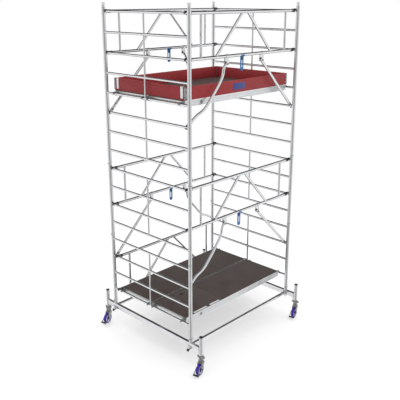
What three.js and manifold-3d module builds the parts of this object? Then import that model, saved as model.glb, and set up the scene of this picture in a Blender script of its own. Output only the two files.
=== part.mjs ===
// A mobile aluminium scaffold tower: two ends of stacked ladder frames on a wheeled base,
// held together by five double guardrails with swing braces, and carrying two plank levels.
// X runs along the bay, Y across it, and +Z is up. The origin is under the middle of the tower.
import * as THREE from "three";
import { mergeVertices } from "three/addons/utils/BufferGeometryUtils.js";
import Module from "manifold-3d";

const wasm = await Module();
wasm.setup();

// Driving dimensions, in millimetres. The tower stands on z = 0.
const bayLength = 2000; // between the axes of the standards, along X
const bayWidth = 1488; // between the axes of the standards, along Y
const rungPitch = 250;
const rungCount = 16; // at each end, over the three frames
const topRung = 4350; // height of the highest rung's axis
const fitGap = 0.3; // left between solids that touch
const weldDepth = 2; // that a welded solid reaches into the next
const tubeSides = 8;

// Ladder frames
const standardRadius = 24;
const standardBore = 20.5;
const rungRadius = 15;
const stileRadius = 12;
const jointHeights = [395, 1395, 2395, 4395]; // where one frame's standards meet the next
const spigotRadius = 20;
const spigotLength = 60;
const plugLength = 40; // of the spigot inside the top of its standard

// Base
const beamWidth = 40;
const beamHeight = 70;
const beamWall = 3;
const beamBottom = 295;
const beamTop = beamBottom + beamHeight;
const casterOverhang = 180; // from a standard's axis to the caster's, along Y
const postBottom = 255;
const postTop = 510;
const gussetLength = 62;
const gussetDrop = 34;
const gussetThickness = 6;
const strutRadius = 22.5;
const strutHeight = 325;
const strutClawWidth = 60;
const strutClawWall = 9;
const strutClawLip = 27; // of the claw's outer side above the beam's underside
const strutScrewRadius = 14;
const strutScrewHeight = 274;

// Casters, in a frame with its Z on the swivel axis and its X towards the brake pedal
const casterYaw = THREE.MathUtils.degToRad(195);
const wheelRadius = 75;
const wheelSides = 16;
const wheelOffset = 35; // of the wheel's axle from the swivel axis
const axleRadius = 8;
const axlePlay = 1.6;
const wheelHubReach = 23; // from the wheel's middle plane
const wheelSection = [[24, -23], [30, -13], [56, -13], [62, -21], [wheelRadius, -17]]; // hub to tread
const forkInside = 28; // from the wheel's middle plane to a fork leg
const forkWall = 4;
const forkBack = -32;
const forkFront = 40;
const forkShoulder = 148; // where the legs widen to the plate
const forkLegEnd = 18; // radius of a leg's round end
const forkPlateBottom = 158;
const forkPlateTop = 170;
const swivelTop = 190;
const swivelRadius = 34;
const spindleRadius = 18;
const spindleTop = 470;
const spindleFootRadius = 26;
const nutBottom = 214;
const nutRadius = 30;
const nutBore = 19.8;
const lugReach = 52;
const lugWidth = 16;
const lugInset = 6; // of the lugs from the nut's two ends
const pedalInside = 34;
const pedalArm = [[42, 88], [42, 103], [56, 107], [122, 62], [142, 46], [142, 33], [117, 34], [58, 84]];
const pedalTread = { from: 118, to: 142, bottom: 33, top: 45 };

// Double guardrails, from the knee rail's axis
const railRadius = 19;
const guardPostRadius = 15;
const guardDiagonalRadius = 16;
const guardHeight = 2 * rungPitch;
const guardPosts = [-765, 800];
const diagonalFoot = 515;
const diagonalTop = 45;
const guardInset = 50; // of a guardrail's plane from the standards' axes
const baseGuardInset = 88;
const pivotFromRung = 670;
const pivotDrop = 88; // of a brace's pivot below the knee rail
const pivotPinRadius = 5;
const pivotHoleRadius = 6.2;
const bracketWidth = 35;
const bracketInside = 18.2;
const bracketWall = 4;
const braceRadius = 17.5;
const braceDrop = 3 * rungPitch; // from the knee rail down to the rung that the brace hooks on
// Centre lines of the braces from the pivot down, as distance from the rung and drop from the rail
const bentBrace = [
  [692, 70], [670, 88], [627, 135], [607, 216], [546, 311],
  [439, 433], [300, 576], [165, 640], [80, 700], [19, 739],
];
const bentSteps = 13;
const straightBrace = [[692, 66], [16, 734]];
const clawInner = 17.6;
const clawOuter = 26;
const clawWidth = 18;
const clawSteps = 4;
const pinSides = 6;

// Hanging hooks
const hookPlace = -50; // along the knee rail, from its middle
const hookWidth = 53;
const hookLength = 190;
const hookThickness = 10;
const hookRingInner = 21;
const hookRingOuter = 28;
const hookSlot = [[-8, -62], [14, -62], [14, -150], [-8, -150]];

// Decks, from the axis of the rung that carries them
const deckLength = 1910;
const deckWidth = 622;
const deckSeam = 14;
const deckTop = 42;
const panelThickness = 12;
const sideRailBottom = -35;
const sideRailWidth = 28;
const endRailWidth = 40;
const endRailBottom = -25;
const crossRailWidth = 30;
const crossRailBottom = -10;
const crossRails = [150, 560]; // right-hand faces, besides the one at the hatch's edge
const hatchRimWidth = 20;
const hatchRimDepth = 8;
const deckClawInset = 40; // from a side rail's face to a claw's middle
const deckClawRoot = 10; // that a claw's arm reaches into the end rail
const hatchStart = 105; // from the deck's left end to the lid
const hatchLength = 600;
const hatchHinge = 20; // from the deck's outer edge to the hinge line
const hatchWidth = 550;
const hatchGap = 2;

// Toe boards, on the upper decks
const toeHeight = 150;
const toeThickness = 22;
const toeOverhang = 9; // of the long boards past the deck's edge

const halfLength = bayLength / 2;
const halfWidth = bayWidth / 2;
const rungHeights = Array.from({ length: rungCount }, (_, k) => topRung - k * rungPitch);
const deckCentre = (deckWidth + deckSeam) / 2;
const ends = { left: -1, right: 1 };
const sides = { front: -1, back: 1 };

const finish = (color, roughness, metalness) => (
  () => new THREE.MeshStandardMaterial({ color, roughness, metalness })
);
const aluminium = finish(0xb9bcc0, 0.38, 0.9);
const steel = finish(0xa9acb0, 0.45, 0.85);
const plywood = finish(0x453a38, 0.6, 0);
const redBoard = finish(0x9c3539, 0.55, 0);
const bluePlastic = finish(0x2f7ec4, 0.4, 0);
const wheelPlastic = finish(0x3a35a0, 0.45, 0);
const pedalSteel = finish(0x55565c, 0.5, 0.7);

// A closed geometry as a solid that can be joined and cut
function solid(geometry) {
  const bare = geometry.clone();
  bare.deleteAttribute("normal");
  bare.deleteAttribute("uv");
  const merged = mergeVertices(bare, 1e-3);
  return new wasm.Manifold(new wasm.Mesh({
    numProp: 3,
    vertProperties: new Float32Array(merged.attributes.position.array),
    triVerts: new Uint32Array(merged.index.array),
  }));
}

function join(shapes) {
  return shapes.reduce((whole, shape) => whole.add(shape));
}

function cut(whole, shapes) {
  return shapes.reduce((rest, shape) => rest.subtract(shape), whole);
}

function block(low, high) {
  const size = high.map((value, axis) => value - low[axis]);
  const middle = high.map((value, axis) => (value + low[axis]) / 2);
  return solid(new THREE.BoxGeometry(...size).translate(...middle));
}

function rod(from, to, radius, facets = tubeSides) {
  const start = new THREE.Vector3(...from);
  const along = new THREE.Vector3(...to).sub(start);
  const geometry = new THREE.CylinderGeometry(radius, radius, along.length(), facets);
  const turn = new THREE.Quaternion().setFromUnitVectors(
    new THREE.Vector3(0, 1, 0),
    along.clone().normalize(),
  );
  geometry.applyQuaternion(turn);
  geometry.translate(...start.addScaledVector(along, 0.5).toArray());
  return solid(geometry);
}

// An outline in X and Z, given depth along Y on both sides of its plane
function plate(outline, y, depth, holes = []) {
  const shape = new THREE.Shape(outline.map(([x, z]) => new THREE.Vector2(x, z)));
  shape.holes = holes.map((hole) => new THREE.Path(hole.map(([x, z]) => new THREE.Vector2(x, z))));
  const geometry = new THREE.ExtrudeGeometry(shape, { depth, bevelEnabled: false });
  geometry.rotateX(Math.PI / 2);
  geometry.translate(0, y + depth / 2, 0);
  return solid(geometry);
}

function arc(x, z, radius, from, to, steps) {
  return Array.from({ length: steps + 1 }, (_, i) => {
    const angle = THREE.MathUtils.degToRad(from + (to - from) * i / steps);
    return [x + radius * Math.cos(angle), z + radius * Math.sin(angle)];
  });
}

// A hook round a rung whose axis is at x, z: an open ring over the angles from start to stop
function claw(x, z, start, stop, y = 0, width = clawWidth) {
  const outline = [
    ...arc(x, z, clawOuter, start, stop, clawSteps),
    ...arc(x, z, clawInner, stop, start, clawSteps),
  ];
  return plate(outline, y, width);
}

function part(name, shape, material) {
  const mesh = shape.getMesh();
  const geometry = new THREE.BufferGeometry();
  geometry.setAttribute("position", new THREE.BufferAttribute(mesh.vertProperties, 3));
  geometry.setIndex(new THREE.BufferAttribute(mesh.triVerts, 1));
  geometry.computeVertexNormals();
  const made = new THREE.Mesh(geometry, material());
  made.name = name;
  return made;
}

// One ladder frame across the end of the bay, between two joint heights. Its standards are
// hollow, and a spigot at the top of each one enters the frame above.
function ladderFrame(bottom, top) {
  const rungs = rungHeights.filter((z) => z > bottom && z < top);
  const tubes = rungs.map((z) => rod([0, -halfWidth, z], [0, halfWidth, z], rungRadius));
  const bores = [];
  const spigots = [];
  for (const side of Object.values(sides)) {
    const y = side * halfWidth;
    tubes.push(rod([0, y, bottom + fitGap], [0, y, top], standardRadius));
    bores.push(rod([0, y, bottom - 1], [0, y, top - plugLength], standardBore));
    spigots.push(rod([0, y, top - plugLength / 2], [0, y, top + spigotLength], spigotRadius));
  }
  tubes.push(rod([0, 0, rungs.at(-1)], [0, 0, rungs[0]], stileRadius));
  return join([cut(join(tubes), bores), ...spigots]);
}

// The beam across the base of one end, with a caster post at each tip and a stub under each standard
function baseBeam() {
  const reach = halfWidth + casterOverhang;
  const solids = [block([-beamWidth / 2, -reach, beamBottom], [beamWidth / 2, reach, beamTop])];
  const hollow = beamWidth / 2 - beamWall;
  const inner = reach - standardBore / 2;
  const bores = [block([-hollow, -inner, beamBottom + beamWall], [hollow, inner, beamTop - beamWall])];
  for (const side of Object.values(sides)) {
    const post = side * reach;
    const stub = side * halfWidth;
    const edge = post - side * standardRadius;
    solids.push(rod([0, post, postBottom], [0, post, postTop], standardRadius));
    bores.push(rod([0, post, postBottom - 1], [0, post, postTop + 1], standardBore));
    solids.push(gusset(post, edge - side * gussetLength));
    solids.push(rod([0, stub, beamTop - beamWall / 2], [0, stub, jointHeights[0]], standardRadius));
    solids.push(rod([0, stub, beamTop], [0, stub, jointHeights[0] + spigotLength], spigotRadius));
  }
  return cut(join(solids), bores);
}

function gusset(post, tip) {
  const shape = new THREE.Shape([
    new THREE.Vector2(post, beamBottom + 1),
    new THREE.Vector2(post, beamBottom - gussetDrop),
    new THREE.Vector2(post + (tip - post) / 3, beamBottom - gussetDrop),
    new THREE.Vector2(tip, beamBottom + 1),
  ]);
  const geometry = new THREE.ExtrudeGeometry(shape, { depth: gussetThickness, bevelEnabled: false });
  geometry.rotateX(Math.PI / 2).rotateZ(Math.PI / 2);
  geometry.translate(-gussetThickness / 2, 0, 0);
  return solid(geometry);
}

// The tube along one side of the base. Each end's saddle holds a beam from below.
function baseStrut() {
  const face = beamWidth / 2 + fitGap;
  const outside = face + strutClawWall;
  const half = strutClawWidth / 2;
  const seat = beamBottom - fitGap;
  const foot = seat - strutClawWall;
  const reach = halfLength - outside + weldDepth;
  const solids = [rod([-reach, 0, strutHeight], [reach, 0, strutHeight], strutRadius)];
  for (const end of Object.values(ends)) {
    const span = (near, far, low, high) => {
      const xs = [end * (halfLength - near), end * (halfLength - far)].sort((a, b) => a - b);
      solids.push(block([xs[0], -half, low], [xs[1], half, high]));
    };
    span(face, outside, foot, strutHeight + strutRadius);
    span(-outside, outside, foot, seat);
    span(-outside, -face, foot, seat + strutClawLip);
    solids.push(rod(
      [end * (halfLength + outside), 0, strutScrewHeight],
      [end * (halfLength - outside), 0, strutScrewHeight],
      strutScrewRadius,
    ));
  }
  return join(solids);
}

function casterFork() {
  const leg = [
    [forkBack, forkPlateTop],
    [forkBack, forkShoulder],
    ...arc(wheelOffset, wheelRadius, forkLegEnd, 205, 350, 3),
    [forkFront, forkShoulder],
    [forkFront, forkPlateTop],
  ];
  const legPlace = forkInside + forkWall / 2;
  const outside = forkInside + forkWall;
  const axleEnd = outside + 1;
  return join([
    block([forkBack, -outside, forkPlateBottom], [forkFront, outside, forkPlateTop]),
    plate(leg, -legPlace, forkWall),
    plate(leg, legPlace, forkWall),
    rod([wheelOffset, -axleEnd, wheelRadius], [wheelOffset, axleEnd, wheelRadius], axleRadius),
    rod([0, 0, forkPlateTop - 1], [0, 0, swivelTop], swivelRadius),
  ]);
}

// A wheel about its own axle, with its dished sides and crowned tread
function casterWheel() {
  const bore = axleRadius + axlePlay;
  const profile = [
    [bore, wheelHubReach],
    [bore, -wheelHubReach],
    ...wheelSection,
    ...wheelSection.map(([r, y]) => [r, -y]).reverse(),
    [bore, wheelHubReach],
  ];
  return solid(new THREE.LatheGeometry(profile.map(([r, y]) => new THREE.Vector2(r, y)), wheelSides));
}

function brakePedal() {
  const { from, to, bottom, top } = pedalTread;
  const armPlace = pedalInside + forkWall / 2;
  const outside = pedalInside + forkWall;
  return join([
    plate(pedalArm, -armPlace, forkWall),
    plate(pedalArm, armPlace, forkWall),
    block([from, -outside, bottom], [to, outside, top]),
  ]);
}

// The threaded leg that a caster hangs on, which slides in its post
function spindle() {
  return join([
    rod([0, 0, swivelTop + fitGap], [0, 0, nutBottom - 2 * fitGap], spindleFootRadius),
    rod([0, 0, swivelTop + fitGap], [0, 0, spindleTop], spindleRadius),
  ]);
}

function levellingNut() {
  const top = postBottom - fitGap;
  const lug = lugWidth / 2;
  return cut(join([
    rod([0, 0, nutBottom], [0, 0, top], nutRadius),
    block([-lugReach, -lug, nutBottom + lugInset], [lugReach, lug, top - lugInset]),
    block([-lug, -lugReach, nutBottom + lugInset], [lug, lugReach, top - lugInset]),
  ]), [rod([0, 0, nutBottom - 1], [0, 0, top + 1], nutBore)]);
}

// A double guardrail in its own plane, centred on its knee rail
function guardUnit(braced) {
  const solids = [];
  const railEnd = halfLength - clawOuter + 3;
  for (const z of [0, guardHeight]) {
    solids.push(rod([-railEnd, 0, z], [railEnd, 0, z], railRadius));
    for (const end of Object.values(ends)) {
      solids.push(claw(end * halfLength, z, -20, 200));
    }
  }
  for (const x of guardPosts) {
    solids.push(rod([x, 0, 0], [x, 0, guardHeight], guardPostRadius));
  }
  for (const end of Object.values(ends)) {
    const foot = [end * diagonalFoot, 0, 0];
    const top = [end * diagonalTop, 0, guardHeight];
    solids.push(rod(foot, top, guardDiagonalRadius));
    if (braced) {
      solids.push(braceBracket(end * (halfLength - pivotFromRung)));
    }
  }
  return join(solids);
}

// The clevis under the knee rail that a brace turns in, with its pin
function braceBracket(x) {
  const outside = bracketInside + bracketWall;
  const half = bracketWidth / 2;
  const collar = railRadius + 3;
  const foot = -pivotDrop - half;
  const pinEnd = outside + 3;
  return join([
    block([x - half, -outside, -collar], [x + half, outside, collar]),
    block([x - half, -outside, foot], [x + half, -bracketInside, 0]),
    block([x - half, bracketInside, foot], [x + half, outside, 0]),
    rod([x, -pinEnd, -pivotDrop], [x, pinEnd, -pivotDrop], pivotPinRadius, pinSides),
  ]);
}

// A brace about its pivot. The claw's mouth faces the way the brace swings up onto its rung.
function brace(end, points) {
  const place = ([fromRung, drop]) => [end * (pivotFromRung - fromRung), 0, pivotDrop - drop];
  const [clawX, , clawZ] = place([0, braceDrop]);
  const [start, stop] = end < 0 ? [205, 425] : [115, -105];
  const line = points.map(place);
  const tube = line.length > 2 ? bentTube(line) : rod(...line, braceRadius);
  const pinHole = rod([0, -braceRadius - 1, 0], [0, braceRadius + 1, 0], pivotHoleRadius, pinSides);
  return join([cut(tube, [pinHole]), claw(clawX, clawZ, start, stop)]);
}

function bentTube(points) {
  const path = new THREE.CatmullRomCurve3(points.map((point) => new THREE.Vector3(...point)));
  const outline = arc(0, 0, braceRadius, 0, 360 - 360 / tubeSides, tubeSides - 1);
  const shape = new THREE.Shape(outline.map(([x, y]) => new THREE.Vector2(x, y)));
  const settings = { extrudePath: path, steps: bentSteps, bevelEnabled: false };
  return solid(new THREE.ExtrudeGeometry(shape, settings));
}

// A hook that hangs from a knee rail by its ring
function railHook() {
  const half = hookWidth / 2;
  const root = -hookRingInner - 3;
  const outline = [[-half, root], ...arc(0, -hookLength + half, half, 180, 360, 5), [half, root]];
  const ring = rod([-half, 0, 0], [half, 0, 0], hookRingOuter);
  const bore = rod([-half - 1, 0, 0], [half + 1, 0, 0], hookRingInner);
  return cut(join([ring, plate(outline, 0, hookThickness, [hookSlot])]), [bore]);
}

// The frame of a deck, centred between its rungs
function deckFrame(hatched) {
  const halfX = deckLength / 2;
  const halfY = deckWidth / 2;
  const top = deckTop - panelThickness - fitGap;
  const solids = [];
  for (const side of Object.values(sides)) {
    const ys = [side * halfY, side * (halfY - sideRailWidth)].sort((a, b) => a - b);
    solids.push(block([-halfX, ys[0], sideRailBottom], [halfX, ys[1], top]));
  }
  for (const end of Object.values(ends)) {
    const xs = [end * halfX, end * (halfX - endRailWidth)].sort((a, b) => a - b);
    solids.push(block([xs[0], -halfY, endRailBottom], [xs[1], halfY, top]));
    for (const side of Object.values(sides)) {
      solids.push(...deckClaw(end, side * (halfY - deckClawInset)));
    }
  }
  const hatchEnd = -halfX + hatchStart + hatchLength;
  for (const x of [hatchEnd + hatchGap + crossRailWidth, ...crossRails]) {
    solids.push(block([x - crossRailWidth, -halfY, crossRailBottom], [x, halfY, top]));
  }
  if (hatched) {
    const rim = -halfY + hatchHinge + hatchWidth;
    solids.push(block(
      [-halfX, rim - hatchRimWidth, top - hatchRimDepth],
      [hatchEnd + crossRailWidth, halfY, top],
    ));
  }
  return join(solids);
}

function deckClaw(end, y) {
  const root = end * (deckLength / 2 - deckClawRoot);
  const tip = end * (halfLength - clawInner - 3);
  const half = clawWidth / 2;
  return [
    claw(end * halfLength, 0, -20, 200, y),
    block([Math.min(root, tip), y - half, 3], [Math.max(root, tip), y + half, 22]),
  ];
}

// The deck's floor, with its opening where there is a hatch
function deckPanel(hatched) {
  const halfX = deckLength / 2;
  const halfY = deckWidth / 2;
  const panel = block([-halfX, -halfY, deckTop - panelThickness], [halfX, halfY, deckTop]);
  if (!hatched) {
    return panel;
  }
  const x = -halfX + hatchStart;
  const y = -halfY + hatchHinge;
  return cut(panel, [block(
    [x - hatchGap, y - hatchGap, deckTop - panelThickness - 1],
    [x + hatchLength + hatchGap, y + hatchWidth + hatchGap, deckTop + 1],
  )]);
}

// The lid, from its hinge line along X at its outer top edge
function hatchLid() {
  return block([0, 0, -panelThickness], [hatchLength, hatchWidth, 0]);
}

const tower = new THREE.Group();

function place(parent, mesh, x, y, z, yaw = 0) {
  mesh.position.set(x, y, z);
  mesh.rotation.z = yaw;
  parent.add(mesh);
}

function addCaster(corner, x, y) {
  const caster = new THREE.Group();
  caster.position.set(x, y, 0);
  caster.rotation.z = casterYaw;
  caster.add(part(`spindle_${corner}`, spindle(), steel));
  caster.add(part(`levelling_nut_${corner}`, levellingNut(), steel));
  caster.add(part(`caster_fork_${corner}`, casterFork(), steel));
  caster.add(part(`brake_pedal_${corner}`, brakePedal(), pedalSteel));
  const wheel = part(`caster_wheel_${corner}`, casterWheel(), wheelPlastic);
  place(caster, wheel, wheelOffset, 0, wheelRadius);
  tower.add(caster);
}

function addEnd(name, end) {
  const x = end * halfLength;
  place(tower, part(`base_beam_${name}`, baseBeam(), aluminium), x, 0, 0);
  ["lower", "middle", "upper"].forEach((level, i) => {
    const frame = ladderFrame(jointHeights[i], jointHeights[i + 1]);
    place(tower, part(`ladder_frame_${name}_${level}`, frame, aluminium), x, 0, 0);
  });
  for (const [side, sign] of Object.entries(sides)) {
    addCaster(`${side}_${name}`, x, sign * (halfWidth + casterOverhang));
  }
}

// A guardrail on one side of the tower. The unit is the same on both sides, so it is turned
// half round at the back, and its bent brace comes at the tower's right end there.
function addGuard(name, side, kneeRung, inset, braced) {
  const unit = new THREE.Group();
  unit.position.set(0, side * (halfWidth - inset), rungHeights[kneeRung]);
  unit.rotation.z = side < 0 ? 0 : Math.PI;
  unit.add(part(`guard_${name}`, guardUnit(braced), aluminium));
  if (braced) {
    const pivot = halfLength - pivotFromRung;
    const bent = part(`brace_bent_${name}`, brace(-1, bentBrace), aluminium);
    const straight = part(`brace_straight_${name}`, brace(1, straightBrace), aluminium);
    place(unit, bent, -pivot, 0, -pivotDrop);
    place(unit, straight, pivot, 0, -pivotDrop);
    place(unit, part(`hook_${name}`, railHook(), bluePlastic), hookPlace, 0, 0);
  }
  tower.add(unit);
}

function addDecks(level, rung) {
  const z = rungHeights[rung];
  place(tower, part(`deck_frame_${level}_front`, deckFrame(true), aluminium), 0, -deckCentre, z);
  place(tower, part(`deck_panel_${level}_front`, deckPanel(true), plywood), 0, -deckCentre, z);
  const lidX = -deckLength / 2 + hatchStart;
  const lidY = -deckCentre - deckWidth / 2 + hatchHinge;
  place(tower, part(`hatch_lid_${level}`, hatchLid(), plywood), lidX, lidY, z + deckTop);
  const joined = block(
    [-deckLength / 2, -deckWidth / 2, deckTop - panelThickness - 2 * fitGap],
    [deckLength / 2, deckWidth / 2, deckTop],
  );
  place(tower, part(`deck_${level}_back`, deckFrame(false).add(joined), aluminium), 0, deckCentre, z);
}

function addToeBoards(rung) {
  const foot = rungHeights[rung] + deckTop + fitGap;
  const halfX = deckLength / 2;
  const outer = deckCentre + deckWidth / 2 + toeOverhang;
  const inner = outer - toeThickness;
  for (const [name, side] of Object.entries(sides)) {
    const ys = [side * outer, side * inner].sort((a, b) => a - b);
    const board = block([-halfX, ys[0], 0], [halfX, ys[1], toeHeight]);
    place(tower, part(`toe_board_${name}`, board, redBoard), 0, 0, foot);
  }
  for (const [name, end] of Object.entries(ends)) {
    const xs = [end * halfX, end * (halfX - toeThickness)].sort((a, b) => a - b);
    const board = block([xs[0], -inner + fitGap, 0], [xs[1], inner - fitGap, toeHeight]);
    place(tower, part(`toe_board_${name}`, board, redBoard), 0, 0, foot);
  }
}

for (const [name, end] of Object.entries(ends)) {
  addEnd(name, end);
}
for (const [name, side] of Object.entries(sides)) {
  const strut = part(`base_strut_${name}`, baseStrut(), aluminium);
  place(tower, strut, 0, side * halfWidth, 0);
  addGuard(`${name}_upper`, side, 2, guardInset, true);
  addGuard(`${name}_lower`, side, 10, guardInset, true);
}
addGuard("back_base", sides.back, 15, baseGuardInset, false);
addDecks("upper", 4);
addDecks("lower", 15);
addToeBoards(4);

// The origin goes to the middle of the tower's box, on the floor.
const box = new THREE.Box3().setFromObject(tower, true);
const middle = box.getCenter(new THREE.Vector3());
tower.position.set(-middle.x, -middle.y, -box.min.z);

export default tower;
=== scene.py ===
"""The looks of a rolling aluminium scaffold tower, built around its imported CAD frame.

Shapes are drawn in millimetres, in the tower's own frame: X along the bay, Y across it, Z up,
with the origin on the floor under the middle of the bay. `MAIN` carries that frame to the packed
one, and each mesh is turned into metres as it is made.
"""

from math import cos, pi, radians, sin, sqrt, tau

import bmesh
import bpy
from mathutils import Matrix, Vector


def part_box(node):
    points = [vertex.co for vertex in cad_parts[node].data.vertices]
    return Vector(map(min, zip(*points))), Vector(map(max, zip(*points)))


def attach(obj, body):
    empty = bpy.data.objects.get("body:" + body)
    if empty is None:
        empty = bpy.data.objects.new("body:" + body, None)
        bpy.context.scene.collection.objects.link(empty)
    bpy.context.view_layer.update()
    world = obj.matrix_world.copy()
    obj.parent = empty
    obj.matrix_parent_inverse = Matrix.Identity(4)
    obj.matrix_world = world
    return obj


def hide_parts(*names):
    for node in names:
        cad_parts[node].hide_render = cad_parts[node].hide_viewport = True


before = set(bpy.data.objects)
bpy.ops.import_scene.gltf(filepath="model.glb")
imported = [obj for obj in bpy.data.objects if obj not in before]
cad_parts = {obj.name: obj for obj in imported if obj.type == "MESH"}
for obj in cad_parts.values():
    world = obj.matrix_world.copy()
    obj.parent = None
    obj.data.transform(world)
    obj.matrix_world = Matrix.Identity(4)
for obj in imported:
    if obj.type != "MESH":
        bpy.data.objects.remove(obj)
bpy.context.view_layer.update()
MM = 0.001


def middle_of(node):
    low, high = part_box(node)
    return (low + high) / 2


# Driving dimensions, in millimetres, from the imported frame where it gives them. BAY_X, BAY_Y,
# DECK_X and DECK_Y are half sizes: how far the bay's tubes and a deck's rim are from the middle
LEFT = middle_of("base_beam_left")
RIGHT = middle_of("base_beam_right")
BAY_MIDDLE = (LEFT + RIGHT) / 2
MAIN = Matrix.Translation((BAY_MIDDLE.x, BAY_MIDDLE.y, 0))
BAY_X = (RIGHT.x - LEFT.x) / 2 / MM
BAY_Y = (middle_of("base_strut_back").y - middle_of("base_strut_front").y) / 2 / MM
BOTH = (-1, 1)
ENDS = {"left": -1, "right": 1}
SIDES = {"front": -1, "back": 1}
# What each corner of the bay adds to a piece's name, with the corner's signs in X and Y
CORNERS = [(f"{side}_{end}", x, y) for end, x in ENDS.items() for side, y in SIDES.items()]

RUNG_PITCH = 250
TOP_RUNG = 4350
RUNGS = [TOP_RUNG - RUNG_PITCH * k for k in range(16)]
LADDER_FOOT = 395
LADDER_TOP = 4395
JOINTS = {"lower": (LADDER_FOOT, 1395), "middle": (1395, 2395), "upper": (2395, LADDER_TOP)}
STANDARD = 24
STANDARD_BORE = 20.5
SPIGOT = 20
SPIGOT_LENGTH = 60
CLIP_HEIGHT = 20
RUNG = 15
STILE = 12
SEAM_GAP = 0.3
WELD_SIZE = 2.4

BEAM_WIDTH = 40
BEAM_BOTTOM = 295
BEAM_TOP = 365
POST_PLACE = BAY_Y + 180
POST_BOTTOM = 255
POST_TOP = 510
LINING_DEPTH = 90
STRUT = 22.5
STRUT_HEIGHT = 325
SADDLE_FACE = BEAM_WIDTH / 2 + SEAM_GAP
SADDLE_WALL = 9
SADDLE_OUTSIDE = SADDLE_FACE + SADDLE_WALL
SADDLE_WIDTH = 60
SCREW_HEIGHT = 274

CASTER_TURN = radians(195)
WHEEL = 75
WHEEL_OFFSET = 35
FORK_INSIDE = 28
FORK_WALL = 4
FORK_OUTSIDE = FORK_INSIDE + FORK_WALL
PEDAL_INSIDE = 34
THREAD_PITCH = 8

RAIL = 19
GUARD_POST = 15
GUARD_DIAGONAL = 16
GUARD_HEIGHT = 2 * RUNG_PITCH
GUARD_POSTS = (-765, 800)
DIAGONAL_FOOT = 515
DIAGONAL_TOP = 45
GUARD_PLACE = BAY_Y - 50
BASE_GUARD_PLACE = BAY_Y - 88
PIVOT_FROM_RUNG = 670
PIVOT_PLACE = BAY_X - PIVOT_FROM_RUNG
PIVOT_DROP = 88
BRACE = 17.5
BRACE_DROP = 3 * RUNG_PITCH
CLAW_INNER = 17.6
CLAW_OUTER = 26
CLAW_WIDTH = 18
# Centre lines of the braces, as distance from the rung and drop from the knee rail
BENT_BRACE = [
    (692, 70), (670, 88), (627, 135), (607, 216), (546, 311),
    (439, 433), (300, 576), (165, 640), (80, 700), (19, 739),
]
STRAIGHT_BRACE = [(692, 66), (16, 734)]

DECK_X = 955
DECK_Y = 311
DECK_PLACE = 318
DECK_TOP = 42
BOARD = 12
RAIL_TOP = DECK_TOP - BOARD - SEAM_GAP
SIDE_RAIL_BOTTOM = -35
SIDE_RAIL_WIDTH = 28
DECK_LIP = 5
END_RAIL_WIDTH = 40
END_RAIL_BOTTOM = -25
DECK_CLAW_PLACE = 271
CROSS_RAILS = (-218, 150, 560)
CROSS_RAIL_WIDTH = 30
HATCH_START = 105 - DECK_X
HATCH_LENGTH = 600
HATCH_WIDTH = 550
HATCH_HINGE = 20 - DECK_Y
HATCH_GAP = 2
TOE_HEIGHT = 150
TOE_THICKNESS = 22
TOE_HALF = TOE_THICKNESS / 2
TOE_FOOT = RUNGS[4] + DECK_TOP + SEAM_GAP
TOE_OUTER = DECK_PLACE + DECK_Y + 9
TOE_BRACKET_PLACE = BAY_Y - 169


# ---- shapes

UP = (0, 0, 1)
XZ = Matrix(((1, 0, 0, 0), (0, 0, -1, 0), (0, 1, 0, 0), (0, 0, 0, 1)))
YZ = Matrix(((0, 0, 1, 0), (1, 0, 0, 0), (0, 1, 0, 0), (0, 0, 0, 1)))
XY = Matrix.Identity(4)


def circle(sides):
    return [tau * i / sides for i in range(sides)]


def arc(x, z, radius, start, stop, steps):
    """Points of an arc in a plane, its angles in degrees."""
    angles = [radians(start + (stop - start) * i / steps) for i in range(steps + 1)]
    return [(x + radius * cos(a), z + radius * sin(a)) for a in angles]


def band(x, z, outer, inner, start, stop, steps):
    """The outline of a curved strip between two radii."""
    return [*arc(x, z, outer, start, stop, steps), *arc(x, z, inner, stop, start, steps)]


def oblong(left, right, near, far):
    return [(left, near), (right, near), (right, far), (left, far)]


def across(direction):
    """Two unit vectors at right angles to a direction."""
    side = Vector(UP).cross(direction)
    if side.length < 1e-6:
        side = Vector((1, 0, 0))
    side.normalize()
    return side, direction.cross(side)


def smooth_line(points, steps=6):
    """A Catmull-Rom curve through the points."""
    line = [Vector(p) for p in points]
    line = [2 * line[0] - line[1], *line, 2 * line[-1] - line[-2]]
    found = []
    for a, b, c, d in zip(line, line[1:], line[2:], line[3:]):
        for i in range(steps):
            t = i / steps
            found.append(0.5 * (
                2 * b + (c - a) * t
                + (2 * a - 5 * b + 4 * c - d) * t * t
                + (3 * b - a - 3 * c + d) * t ** 3
            ))
    return [*found, line[-2]]


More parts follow.
